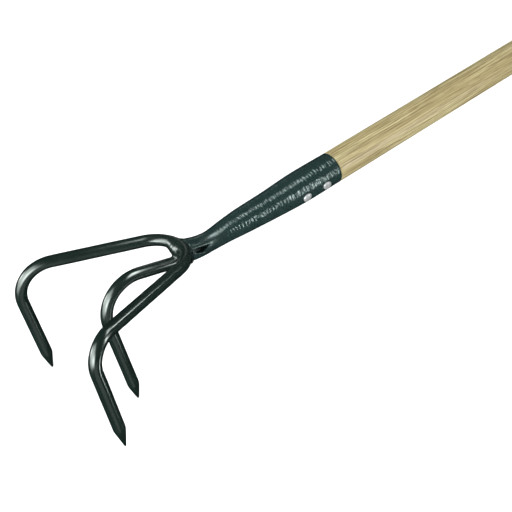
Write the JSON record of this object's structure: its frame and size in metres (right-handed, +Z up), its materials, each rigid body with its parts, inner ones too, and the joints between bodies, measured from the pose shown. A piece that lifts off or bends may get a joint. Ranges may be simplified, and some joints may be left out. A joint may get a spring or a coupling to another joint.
{
  "type": "three-tine cultivator",
  "caption": "Long-handled garden cultivator: bent round-bar tines with ground points, welded to a tapered steel socket riveted on an ash shaft, lying on the ground.",
  "frame": {"origin": "on the ground plane, under the middle of the tool's bounding box", "axes": "+X along the shaft towards its free end as the tool lies on the ground, +Z up, +Y completes a right-handed frame; the tool has rolled onto the middle tine, the +Y outer tine and the shaft's end"},
  "size_m": [1.4028, 0.1554, 0.1462],
  "materials": {
    "ash": "straight-grained pale ash under a satin clear lacquer",
    "hammered_paint": "dark green hammered enamel on rolled steel",
    "gloss_paint": "smooth gloss green-black enamel on round steel bar",
    "bright_steel": "bright unpainted rivet heads"
  },
  "bodies": {
    "root": {"shaft": "ash", "socket": "hammered_paint", "outer_tines": "gloss_paint", "middle_tine": "gloss_paint", "crotch_weld": "gloss_paint", "collar_weld": "hammered_paint", "rivet_1": "bright_steel", "rivet_2": "bright_steel"}
  },
  "joints": []
}
